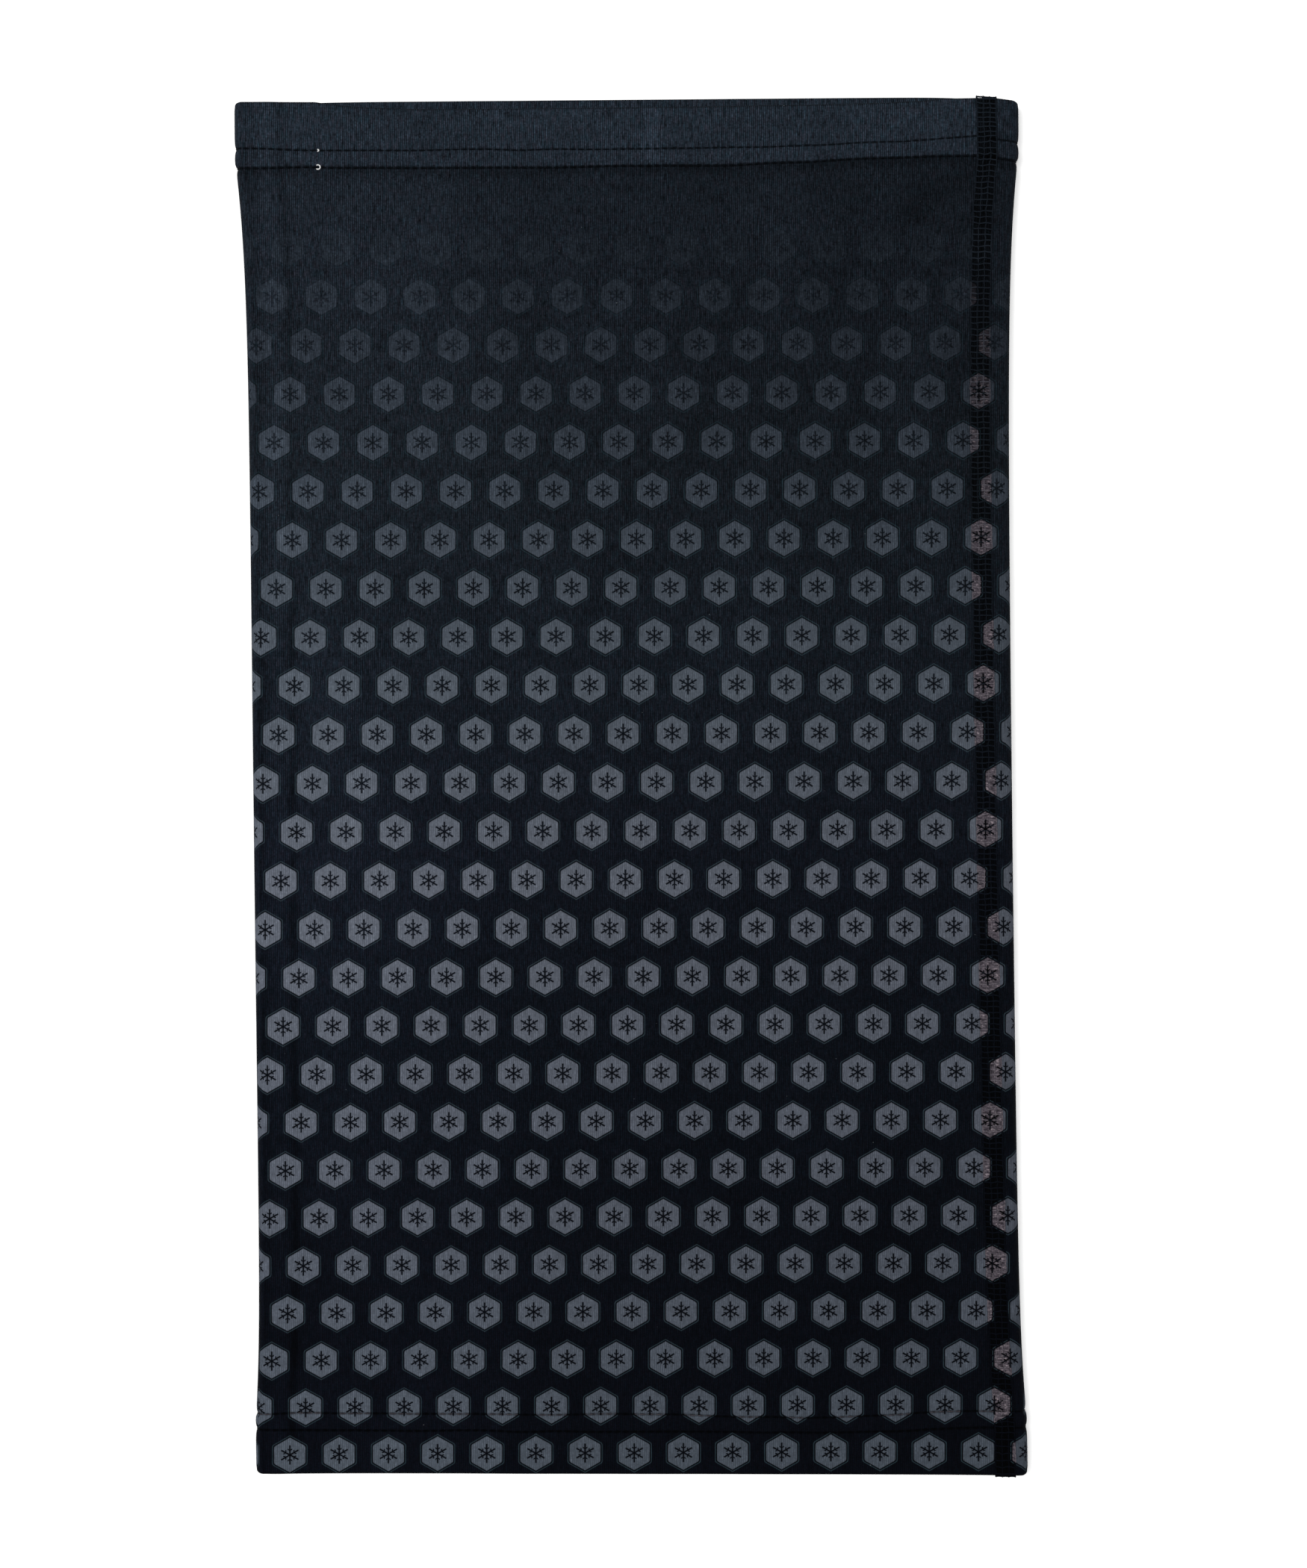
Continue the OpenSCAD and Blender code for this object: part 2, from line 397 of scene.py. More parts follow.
class Look:
    # one material and its nodes
    def __init__(self, name):
        self.material = bpy.data.materials.new(name)
        self.material.use_nodes = True
        self.nodes = self.material.node_tree.nodes
        self.links = self.material.node_tree.links
        self.nodes.clear()

    def node(self, kind, settings=None, inputs=None):
        made = self.nodes.new("ShaderNode" + kind)
        for key, value in (settings or {}).items():
            if key == "stops":
                while len(made.color_ramp.elements) < len(value):
                    made.color_ramp.elements.new(1.0)
                for element, (position, colour) in zip(made.color_ramp.elements, value):
                    element.position = position
                    element.color = colour
            else:
                setattr(made, key, value)
        for key, value in (inputs or {}).items():
            if isinstance(value, Signal):
                self.links.new(value.socket, made.inputs[key])
            else:
                made.inputs[key].default_value = value
        return made

    def math(self, operation, *values, clamp=False):
        made = self.node("Math", {"operation": operation, "use_clamp": clamp}, dict(enumerate(values)))
        return Signal(self, made.outputs[0])

    def edge(self, value, at, soft):
        # 1 where value is below at, 0 above, over a soft step
        return self.math("MULTIPLY_ADD", value, -1 / soft, at / soft + 0.5, clamp=True)

    def noise(self, x, y, detail=1.0, roughness=0.5, seed=0.0):
        where = self.node("CombineXYZ", inputs={0: x, 1: y, 2: seed})
        made = self.node("TexNoise", inputs={"Vector": Signal(self, where.outputs[0]), "Scale": 1.0,
                                             "Detail": detail, "Roughness": roughness})
        return Signal(self, made.outputs[0])

    def uneven(self, x, y, kind):
        across, along, detail, seed = grain[kind]
        return self.noise(x * across, y * along, detail, seed=seed)

    def ramp(self, value, stops):
        return Signal(self, self.node("ValToRGB", {"stops": stops}, {0: value}).outputs[0])

    def blend(self, factor, a, b):
        made = self.node("Mix", {"data_type": "RGBA"}, {0: factor, 6: a, 7: b})
        return Signal(self, made.outputs[2])

    def scale(self, colour, factor):
        made = self.node("VectorMath", {"operation": "SCALE"}, {0: colour, 3: factor})
        return Signal(self, made.outputs[0])

    def tinted(self, colour, tint):
        made = self.node("VectorMath", {"operation": "MULTIPLY"}, {0: colour, 1: tint})
        return Signal(self, made.outputs[0])

    def uv(self, name):
        made = self.node("UVMap", {"uv_map": name})
        parts = self.node("SeparateXYZ", inputs={0: Signal(self, made.outputs[0])})
        return Signal(self, parts.outputs[0]), Signal(self, parts.outputs[1])

    def objectPlace(self):
        made = self.node("TexCoord")
        parts = self.node("SeparateXYZ", inputs={0: Signal(self, made.outputs["Object"])})
        return [Signal(self, output) for output in parts.outputs]

    def finish(self, colour, height=None, rise=0.0001, strength=0.5, roughness=0.92, specular=0.03):
        inputs = {"Base Color": colour, "Roughness": roughness, "Specular IOR Level": specular}
        if height is not None:
            raised = self.node("Bump", inputs={"Height": height, "Distance": rise, "Strength": strength})
            inputs["Normal"] = Signal(self, raised.outputs[0])
        shader = self.node("BsdfPrincipled", inputs=inputs)
        output = self.node("OutputMaterial")
        self.links.new(shader.outputs[0], output.inputs[0])
        return self.material


# the print: rows of snow stars on plates, in millimetres, that fade out towards the top
motif = {
    "pitch": 15.49,
    "rowPitch": 15.33,
    "rowStep": 4.93,        # each row is this far left of the row above
    "firstX": -2.97,
    "firstY": 16.4,
    "slope": 0.0045,
    "squeezeBelow": -40,    # the rows draw closer together below this
    "squeeze": 1.12e-4,
    "plate": 4.85,          # centre to flat side
    "corner": 0.8,
    "ringGap": 0.55,
    "ringWidth": 0.22,
    "armLength": 3.15,
    "armHalf": 0.27,
    "barbAt": 1.45,
    "barbReach": 0.75,
    "barbThinner": 0.8,
    "barbBlur": 0.1,
    "blur": 0.22,
    "fadeAt": 0.91,         # the plates are gone this far up the tube
    "fadeSoft": 0.08,
    "paleAt": 0.76,         # and pale around here
    "paleSoft": 0.24,
}
cos30 = 0.8660

# colours along the tube, from its bottom edge at 0 to its top edge at 1
groundStops = [
    (0.0, shade(6, 8, 15)), (0.17, shade(8, 11, 18)), (0.31, shade(10, 14, 21)),
    (0.45, shade(15, 19, 27)), (0.60, shade(19, 24, 31)), (0.74, shade(21, 26, 32)),
    (0.90, shade(23, 28, 35)), (1.0, shade(24, 30, 37)),
]
plateStops = [
    (0.0, shade(69, 76, 85)), (0.2, shade(79, 84, 94)), (0.43, shade(87, 92, 102)),
    (0.57, shade(75, 82, 91)), (0.72, shade(54, 61, 70)), (0.82, shade(38, 44, 52)),
    (0.90, shade(28, 34, 41)), (0.95, shade(25, 31, 38)),
]


def printed(look, x, y):
    # x and y in metres over the face that is looked at; gives the masks of the print and its colours
    mmX, mmY = x * 1000, y * 1000
    below = look.math("MAXIMUM", mmY * -1 + motif["squeezeBelow"], 0)
    level = mmY - below * below * motif["squeeze"] - mmX * motif["slope"]
    rowAt = (level - motif["firstY"]) / motif["rowPitch"]
    row = look.math("FLOOR", rowAt + 0.5)
    localY = (rowAt - row) * motif["rowPitch"]
    columnAt = (mmX - motif["firstX"] - row * motif["rowStep"]) / motif["pitch"]
    localX = (columnAt - look.math("FLOOR", columnAt + 0.5)) * motif["pitch"]

    # a rounded hexagon: how far outside its flat sides a point is
    sideX, sideY = abs(localX), abs(localY)
    slant = sideX * 0.5 + sideY * cos30
    outside = look.math("SMOOTH_MAX", sideX, slant, motif["corner"]) - motif["plate"]
    plate = look.edge(outside, 0, motif["blur"])
    ring = look.edge(abs(outside - motif["ringGap"]), motif["ringWidth"] / 2, motif["blur"])
    halo = look.edge(outside, motif["ringGap"], motif["blur"])

    # a six-armed star: distance along and beside the nearest arm
    alongArm = look.math("MAXIMUM", sideX * cos30 + sideY * 0.5, sideY)
    besideSquare = localX * localX + localY * localY - alongArm * alongArm
    beside = look.math("SQRT", look.math("MAXIMUM", besideSquare, 0))
    arm = look.edge(beside, motif["armHalf"], motif["blur"])
    arm = arm * look.edge(alongArm, motif["armLength"], motif["blur"])
    barbLine = abs((alongArm - motif["barbAt"]) * cos30 - beside * 0.5)
    barb = look.edge(barbLine, motif["armHalf"] * motif["barbThinner"], motif["blur"])
    barb = barb * look.edge(beside, motif["barbReach"], motif["barbBlur"])
    star = look.math("MAXIMUM", arm, barb)

    height = (y + halfLength) / (2 * halfLength)
    shown = look.edge(height, motif["fadeAt"], motif["fadeSoft"])
    strength = look.edge(height, motif["paleAt"], motif["paleSoft"])
    return {
        "ground": look.ramp(height, groundStops),
        "plateColour": look.ramp(height, plateStops),
        "plate": plate * (1 - star) * shown,
        "halo": halo * strength,
        "ring": ring * (strength * 0.7 + 0.3) * shown,
        "strength": strength,
    }


knit = {
    "wale": 0.000635,
    "course": 0.00075,
    "loop": 0.00048,
    "bareWhite": (226, 227, 227),
    "sway": 0.8,             # how far the ribs wander, in ribs
    "fuzz": 0.2,
}


def ribbed(look, x, y):
    # upright ribs of the knit: their crowns, the ink each stretch of a rib took, and its V-shaped loops
    sway = look.uneven(x, y, "sway") - 0.5
    fuzz = look.uneven(x, y, "fuzz") - 0.5
    across = x / knit["wale"] + sway * knit["sway"] + fuzz * knit["fuzz"]
    rib = look.math("FLOOR", across)
    offCrown = abs(across - rib - 0.5) * 2
    crown = 1 - offCrown * offCrown
    streak = look.noise(rib * 3.7, y / knit["course"], 2.0, 0.6, seed=7.0)
    ink = look.math("MULTIPLY_ADD", streak, 1.7, -0.35, clamp=True) + fuzz * 0.6
    loops = look.math("COSINE", (y / knit["loop"] + offCrown * 0.5) * 2 * math.pi)
    return crown, ink, loops


def solid(look, colour):
    return look.blend(1.0, colour, colour)


# how the cloth took the ink, and the light and shade painted on it
inkAndPaintedLight = {
    # painted light and shade of the ribs: crowns lighter, grooves darker
    "crownGain": 1.1,
    "crownFloor": 0.27,
    "inkGain": 1.1,
    "inkFloor": 0.45,
    "loopGain": 0.12,
    "speckGain": 2.5,
    "bold": 1.1,             # the streaks show less where there is more ink
    "boldLoss": 0.5,
    "coolHue": (0.6, 1.10, 1.10, 1.0),
    "warmHue": (1.4, 0.91, 0.92, 1.0),
    # painted soft light and shade over the cloth's gentle folds
    "broad": 0.7,            # wide soft light and dark
    # painted light and shade of the seam below and of the creases
    "folds": 0.5,
    "pressed": 0.22,
    "boldEdge": (-0.03, 0.36),
    # painted light, lighter on the left and darker on the right
    "leftGlow": 0.40,        # the left side catches more light, the right side less
    "leftEdge": (-0.05, 0.08),
    "rightGlow": 0.13,
    "rightEdge": (0.05, 0.10),
    "glowLevel": -0.23,
    "plateGlow": 0.6,
    "plateLevel": 1.02,
    "plateBroad": 0.2,
    "plateTone": 0.85,
    "plateCalm": 0.45,
    "hemGlow": 0.60,         # two plies of a hem look lighter than one
    "stripDim": 0.08,        # the strip past the seam turns away from the light
    "hemStripDim": 0.28,
    "plateStripDim": 0.16,
    "halo": 0.6,
    "haloTone": 0.4,
    "ringHue": (34, 62, 70),
    "ring": 0.8,
    "inside": 0.0046,        # the ink ends this far inside the hem
}
# painted shade in the seams' cells, and the colours where the print is worn there
seamShadeAndWear = {
    "half": 0.0030,
    "soft": 0.0006,
    "dark": 0.76,
    "hemDark": 0.1,
    "wornCloth": ((44, 38, 43), (102, 94, 102)),   # where the print is worn, dark to light
    "wornThread": ((64, 58, 64), (116, 106, 112)),
    "pale": (156, 144, 148),
    "paleAt": 0.62,
    "paleShare": 0.7,
    "wornShare": 0.9,
}
rowShade = {
    "plain": (0.00046, 0.4),      # half width, and how dark between the dashes
    "underHem": (0.00054, 0.52),
    "full": 0.92,
    "soft": 0.0004,
    # painted shadow round the hems' turned edges
    "edgeShadeAt": 0.00055,
    "edgeShade": 0.6,
    "dimAt": -0.0012,
    "dim": 0.3,
}


def knitTone(look, x, y, crown, ink, loops):
    # lighter or darker than the ink's own colour, stitch by stitch, around 0; the ribs' crowns lighter and
    # the grooves between them darker are painted light and shade
    speck = look.uneven(x, y, "speck") - 0.5
    onCrown = crown * inkAndPaintedLight["crownGain"] + inkAndPaintedLight["crownFloor"]
    inked = ink * inkAndPaintedLight["inkGain"] + inkAndPaintedLight["inkFloor"]
    return onCrown * inked * (1 + loops * inkAndPaintedLight["loopGain"]) * (1 + speck * inkAndPaintedLight["speckGain"]) - 1


def softLight(look, x, y, faceX, inHem):
    # painted soft light and shade, on the ground and on a plate
    broad = look.uneven(x, y, "broad") - 0.5
    folds = look.uneven(x, y, "folds") - 0.5
    left = look.edge(faceX, *inkAndPaintedLight["leftEdge"]) * inkAndPaintedLight["leftGlow"]
    right = look.edge(faceX, *inkAndPaintedLight["rightEdge"]) * inkAndPaintedLight["rightGlow"]
    glow = 1 + (left + right + inkAndPaintedLight["glowLevel"]) * (1 - inHem)
    # painted light and shade of the seam below and of the creases in the front
    pressed = look.uv("press")[0] * inkAndPaintedLight["pressed"]
    onGround = (1 + broad * inkAndPaintedLight["broad"] + folds * inkAndPaintedLight["folds"] + pressed) * glow
    plateGlow = look.math("POWER", glow, inkAndPaintedLight["plateGlow"])
    return onGround, plateGlow * (inkAndPaintedLight["plateLevel"] + broad * inkAndPaintedLight["plateBroad"])


def wornInk(look, mottle, shades):
    share = look.math("MULTIPLY_ADD", mottle, 3.0, -1.0, clamp=True)
    return look.blend(share, shade(*shades[0]), shade(*shades[1]))


def rowShadows(look, colour, stitch, rowAt):
    # painted shadow: rows of stitches lie in shadow, in dashes, and so do the hems' turned edges and the
    # cloth close under the top hem
    dash = look.math("COSINE", stitch * 2 * math.pi) * -0.5 + 0.5
    for row in allRows:
        wide, share = rowShade["underHem" if row == topRows[1] else "plain"]
        line = look.edge(abs(rowAt - row), wide, rowShade["soft"])
        colour = look.scale(colour, 1 - line * (dash * (rowShade["full"] - share) + share))
    # painted shadow round each hem's turned edge
    edgeShade = look.edge(abs(abs(rowAt) - turnY - rowShade["edgeShadeAt"]), 0.0004, 0.0005)
    colour = look.scale(colour, 1 - edgeShade * rowShade["edgeShade"])
    underHem = look.edge(abs(rowAt - topRows[1] - rowShade["dimAt"]), 0.0014, 0.0025)
    return look.scale(colour, 1 - underHem * rowShade["dim"])


def printedKnit():
    look = Look("printed_knit")
    x, y = look.uv("print")
    stitch, rowAt = look.uv("rows")
    seamGap, strip = look.uv("seams")
    facing = look.math("GREATER_THAN", look.objectPlace()[2], lyingHeight / 2) * 2 - 1
    faceX = x * facing
    art = printed(look, faceX, y)
    crown, ink, loops = ribbed(look, x, y)
    tone = knitTone(look, x, y, crown, ink, loops)
    inHem = look.edge(topRows[1] - rowAt, 0, 0.0008)
    onGround, onPlate = softLight(look, x, y, faceX, inHem)
    bold = inkAndPaintedLight["bold"] - look.edge(y, *inkAndPaintedLight["boldEdge"]) * inkAndPaintedLight["boldLoss"]
    hue = look.blend(look.uneven(x, y, "hue"), inkAndPaintedLight["coolHue"], inkAndPaintedLight["warmHue"])
    ground = look.tinted(look.scale(art["ground"], (1 + tone * bold) * onGround), hue)
    plateTone = 1 + tone * (inkAndPaintedLight["plateTone"] - art["strength"] * inkAndPaintedLight["plateCalm"])
    plate = look.scale(art["plateColour"], plateTone * look.blend(art["strength"], onGround, onPlate))

    beyond = look.math("GREATER_THAN", strip, 0.5)
    stripDim = beyond * (inHem * inkAndPaintedLight["hemStripDim"] + inkAndPaintedLight["stripDim"])
    ground = look.scale(ground, (1 + inHem * inkAndPaintedLight["hemGlow"]) * (1 - stripDim))
    plate = look.scale(plate, 1 - beyond * inkAndPaintedLight["plateStripDim"])

    # seams: the threads draw the cloth down into small cells, darkened as painted shade, and the print is
    # worn there
    inSeam = look.edge(seamGap, seamShadeAndWear["half"], seamShadeAndWear["soft"])
    ground = look.scale(ground, 1 - inSeam * (seamShadeAndWear["dark"] + inHem * seamShadeAndWear["hemDark"]))
    mottle = look.uneven(x, y, "mottle")
    pale = look.edge(mottle * -1, -seamShadeAndWear["paleAt"], 0.06) * seamShadeAndWear["paleShare"]
    worn = look.blend(pale, wornInk(look, mottle, seamShadeAndWear["wornCloth"]), shade(*seamShadeAndWear["pale"]))
    worn = look.blend(art["strength"], ground, worn)
    plate = look.blend(inSeam * seamShadeAndWear["wornShare"], plate, worn)

    colour = look.blend(art["halo"] * inkAndPaintedLight["halo"], ground, look.scale(ground, inkAndPaintedLight["haloTone"]))
    ringColour = look.scale(look.blend(0.6, art["plateColour"], shade(*inkAndPaintedLight["ringHue"])), 0.7)
    colour = look.blend(art["ring"] * inkAndPaintedLight["ring"], colour, look.scale(ringColour, 1 + tone * 0.3))
    colour = look.blend(art["plate"], colour, plate)
    colour = rowShadows(look, colour, stitch, rowAt)

    # painted highlights where a few stray fibres catch the light
    fibreGlint = look.uneven(x, y, "fibreGlint")
    colour = look.blend(look.edge(fibreGlint * -1, -0.83, 0.03) * 0.5, colour, shade(120, 126, 130))

    # the ink stops inside the hem, in a ragged line
    ragged = look.uneven(x, y, "ragged") * 0.0008
    bareAt = look.edge(ragged - abs(y), -(halfLength + inkAndPaintedLight["inside"]), 0.0005)
    # painted light and shade of the bare ribs: crowns a little lighter than the grooves
    bare = look.scale(solid(look, shade(*knit["bareWhite"])), crown * 0.1 + 0.9)
    colour = look.blend(bareAt, colour, bare)
    return look.finish(colour, crown * 0.8 + loops * 0.12 + ink * 0.15, 0.00012, 0.45)


def bareKnit():
    look = Look("bare_knit")
    x, y = look.uv("print")
    crown, ink, loops = ribbed(look, x, y)
    # painted light and shade of the bare ribs: crowns a little lighter than the grooves
    colour = look.scale(solid(look, shade(*knit["bareWhite"])), crown * 0.1 + ink * 0.04 + 0.86)
    return look.finish(colour, crown * 0.8 + loops * 0.12, 0.00012, 0.5, specular=0.1)


def threadLook(name, groundTone, plateTone):
    look = Look(name)
    x, y, z = look.objectPlace()
    facing = look.math("GREATER_THAN", z, lyingHeight / 2) * 2 - 1
    art = printed(look, x * facing, y)
    mottle = look.uneven(x, y, "thread")
    ground = look.scale(art["ground"], groundTone * (mottle * 1.4 + 0.3))
    worn = wornInk(look, mottle, seamShadeAndWear["wornThread"])
    plate = look.scale(look.blend(art["strength"] * 0.8, art["plateColour"], worn), plateTone)
    colour = look.blend(art["plate"], ground, plate)
    # the ink hardly reaches the thread at the side of the left fold
    side = look.edge(abs(z - lyingHeight / 2), 0.0009, 0.0006)
    farOut = look.math("LESS_THAN", x, 0.004 - halfWidth) * look.math("GREATER_THAN", y, 0)
    colour = look.blend(side * farOut * 0.8, colour, shade(170, 190, 198))
    return look.finish(colour, mottle, 0.00005, 0.4)


def bareThread():
    look = Look("bare_thread")
    x, y = look.objectPlace()[:2]
    twist = look.uneven(x, y, "twist")
    colour = look.scale(solid(look, shade(*knit["bareWhite"])), 0.8 + twist * 0.35)
    return look.finish(colour, twist, 0.00005, 0.4, specular=0.15)


printedLook = printedKnit()
bareLook = bareKnit()
# the hem threads are darker than the seam threads: partly deeper dye, partly painted shade of the rows'
# grooves
hemThreadLook = threadLook("hem_thread", 0.3, 0.5)
seamThreadLook = threadLook("seam_thread", 0.7, 0.9)
coverThreadLook = threadLook("seam_cover", 0.95, 1.0)
bareThreadLook = bareThread()
print("looks:", len(bpy.data.materials))


def alongStations():
    # positions along the cloth: close together by the rows and round the hems' edges
    besideRow = [*cloth["besideRow"], 0, *(-gap for gap in reversed(cloth["besideRow"]))]
    bend = math.pi * bendRadius

    def hem(rows, depth):
        outerRow, innerRow = abs(rows[0]), abs(rows[1])
        lines = cloth["turnedLines"]
        stops = [turnY + bend + depth * k / lines for k in range(lines, 0, -1)]
        lines = cloth["edgeLines"]
        stops += [turnY + bend * k / lines for k in range(lines, 0, -1)]
        lines = cloth["marginLines"]
        stops += [mix(turnY, outerRow + besideRow[0], k / lines) for k in range(lines)]
        stops += [outerRow + gap for gap in besideRow]
        stops += [outerRow - cloth["betweenRows"]]
        stops += [innerRow + gap for gap in besideRow]
        return stops + [innerRow - gap for gap in cloth["belowRows"]]

    upper = hem(topRows, cloth["topHemDepth"] - cloth["frayed"])
    lower = [-t for t in hem(bottomRows, cloth["bottomHemDepth"] - cloth["frayed"])]
    lines = cloth["bodyLines"]
    body = [mix(lower[-1], upper[-1], k / lines) for k in range(1, lines)]
    return sorted(lower + body + upper)


def acrossStations():
    columns = faceStitches * cloth["stitchColumns"]
    return ([k / columns for k in range(columns)]
            + [1 + k / cloth["foldColumns"] for k in range(cloth["foldColumns"])]
            + [2 + k / cloth["stripColumns"] for k in range(cloth["stripColumns"] + 1)])


# half of the cloth in a fold
foldArc = math.pi / 4 * (lie["foldReach"] + lyingHeight / 2) * cloth["foldFullness"]


def clothPoint(front, s, t):
    # a point of the cloth, and where it is on the maps: print, rows, seams, and the painted light and shade
    # of the front's relief
    side = -1 if front else 1
    y, depth = throughHem(t)
    x, z = ring(front, s, y, depth + dent(s, y))
    onFold = 1 < s < 2
    edge = midline(y) + side * (halfSpan(y) - lie["foldReach"])
    turned = min(s - 1, 2 - s) * 2 if onFold else 0
    printX = edge + side * foldArc * turned if turned > 0 else x
    past = max(0.0, abs(t) - turnY)
    printY = settle(front, x, math.copysign(turnY, t) if past else y) + math.copysign(past, t)
    seamGap = cloth["awayFromSeams"] if onFold else abs(x - seamLine(y, -side if s <= 1 else side))
    # painted light and shade of the seam below and of creases, on the front's face only
    pressed = press(x, y) if front and s <= 1 else 0
    spots = (printX, printY), (s * faceStitches, t), (seamGap, float(s > 1.5)), (pressed, 0)
    return Vector((x, settle(front, x, y), z)), spots


def clothPanel(name, front):
    lengths, columns = alongStations(), acrossStations()
    mesh = bmesh.new()
    bmesh.ops.create_grid(mesh, x_segments=len(columns) - 1, y_segments=len(lengths) - 1, size=1)
    spots = {}
    for vert in mesh.verts:
        s = columns[round((vert.co.x + 1) / 2 * (len(columns) - 1))]
        t = lengths[round((vert.co.y + 1) / 2 * (len(lengths) - 1))]
        vert.co, spots[vert] = clothPoint(front, s, t)
    mesh.normal_update()
    middle = min(mesh.faces, key=lambda face: face.calc_center_median().length)
    if (middle.normal.z < 0) == front:
        bmesh.ops.reverse_faces(mesh, faces=mesh.faces)
    maps = [mesh.loops.layers.uv.new(kind) for kind in ("print", "rows", "seams", "press")]
    for face in mesh.faces:
        face.smooth = True
        for loop in face.loops:
            for uvMap, spot in zip(maps, spots[loop.vert]):
                loop[uvMap].uv = spot
    data = bpy.data.meshes.new(name)
    mesh.to_mesh(data)
    mesh.free()
    for material in (printedLook, bareLook):
        data.materials.append(material)
    piece = bpy.data.objects.new(name + "_knit", data)
    bpy.context.collection.objects.link(piece)
    thick = piece.modifiers.new("ply", "SOLIDIFY")
    thick.thickness = cloth["ply"]
    thick.offset = 0
    thick.use_even_offset = True
    thick.material_offset = 1
    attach(piece, "root")
    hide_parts(name)


floorMesh = bmesh.new()
bmesh.ops.create_grid(floorMesh, x_segments=1, y_segments=1, size=10)
floorData = bpy.data.meshes.new("floor")
floorMesh.to_mesh(floorData)
floorMesh.free()
floor = bpy.data.objects.new("floor", floorData)
bpy.context.collection.objects.link(floor)
floorLook = Look("floor")
floorData.materials.append(floorLook.finish((0.95, 0.95, 0.945, 1.0), roughness=0.9, specular=0.0))

clothPanel("front_panel", True)
clothPanel("back_panel", False)


# two places where the front's top rows took no ink, and the thread stands up in a small loop
bareLoops = {
    "x": -0.0991,
    "innerRadius": 0.0007,
    "outerRadius": 0.00025,
    "lift": 0.00012,
    "thickness": 1.6,
}


def threadPiece(name, runs, radius, materials):
    # each run is a line of points and the number of its material
    curve = bpy.data.curves.new(name, "CURVE")
    curve.dimensions = "3D"
    curve.bevel_depth = radius
    curve.bevel_resolution = 1
    curve.use_fill_caps = True
    for material in materials:
        curve.materials.append(material)
    for points, number in runs:
        line = curve.splines.new("POLY")
        line.points.add(len(points) - 1)
        line.points.foreach_set("co", [c for p in points for c in (*p, 1.0)])
        line.points.foreach_set("radius", [bareLoops["thickness"] if number else 1.0] * len(points))
        line.material_index = number
    drawn = bpy.data.objects.new(name + "_line", curve)
    bpy.context.collection.objects.link(drawn)
    seen = drawn.evaluated_get(bpy.context.evaluated_depsgraph_get())
    data = bpy.data.meshes.new_from_object(seen)
    bpy.data.objects.remove(drawn)
    bpy.data.curves.remove(curve)
    data.name = name
    piece = bpy.data.objects.new(name + "_sewn", data)
    bpy.context.collection.objects.link(piece)
    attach(piece, "root")
    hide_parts(name)


hemThread = {
    "radius": 0.00013,
    "dip": 0.00075,     # depth of the thread below the cloth's face: in a hole, beside it and between two
    "low": 0.00030,
    "high": 0.00017,
    "needlePath": ((0, "dip"), (0.2, "low"), (0.5, "high"), (0.8, "low")),
    "looperRadius": 0.00011,
    # share of the stitch, share of the way to the other row, and how far inside the tube
    "looperPath": ((0, 0.0, 0.0003), (0.25, 0.06, 0.00025), (0.42, 0.5, 0), (0.5, 0.96, 0.00025),
                   (0.62, 1.0, 0.0003), (0.8, 0.94, 0.00025), (0.9, 0.5, 0)),
}


def stitchPlaces():
    # s at every needle hole of a hem, from the seam over the face, round the fold, and on to the other seam
    places = [k / faceStitches for k in range(1, faceStitches)]
    places += [1 + k / hemStitch["foldStitches"] for k in range(hemStitch["foldStitches"] + 1)]
    return [hemStitch["firstHole"] / faceStitches] + places + [hemStitch["lastHole"]]


def hemNeedleRun(front, row):
    points = []
    holes = stitchPlaces()
    for a, b in zip(holes, holes[1:]):
        for share, depth in hemThread["needlePath"]:
            points.append(place(front, mix(a, b, share), row, hemThread[depth]))
    points.append(place(front, holes[-1], row, hemThread["dip"]))
    return points


def hemLooperRun(front, rows):
    # on the inside, from row to row and back at every stitch, with a loop round each needle thread
    under = hemThickness + hemThread["looperRadius"] + cloth["puffDip"]
    points = []
    holes = stitchPlaces()
    for a, b in zip(holes, holes[1:]):
        for share, across, lift in hemThread["looperPath"]:
            points.append(place(front, mix(a, b, share), mix(rows[0], rows[1], across), under + lift))
    return points


def bareLoop(row, radius):
    faceWidth = seamLine(row, 1) - midline(row) + halfSpan(row) - lie["foldReach"]
    s = (seamLine(row, 1) - bareLoops["x"]) / faceWidth
    centre = place(True, s, row, 0)
    turns = [math.radians(a) for a in range(-130, 131, 20)]
    return [centre + Vector((math.cos(a) * radius, math.sin(a) * radius, bareLoops["lift"])) for a in turns]


for face in ("front", "back"):
    isFront = face == "front"
    for end, rows in (("top", topRows), ("bottom", bottomRows)):
        for row, name in zip(rows, ("outer", "inner")):
            runs = [(hemNeedleRun(isFront, row), 0)]
            if isFront and end == "top":
                runs.append((bareLoop(row, bareLoops[name + "Radius"]), 1))
            threadPiece(f"{face}_{end}_hem_{name}_needle_thread", runs, hemThread["radius"],
                        [hemThreadLook, bareThreadLook])
        threadPiece(f"{face}_{end}_hem_looper_thread", [(hemLooperRun(isFront, rows), 0)],
                    hemThread["looperRadius"], [bareThreadLook])
print("hem threads done")

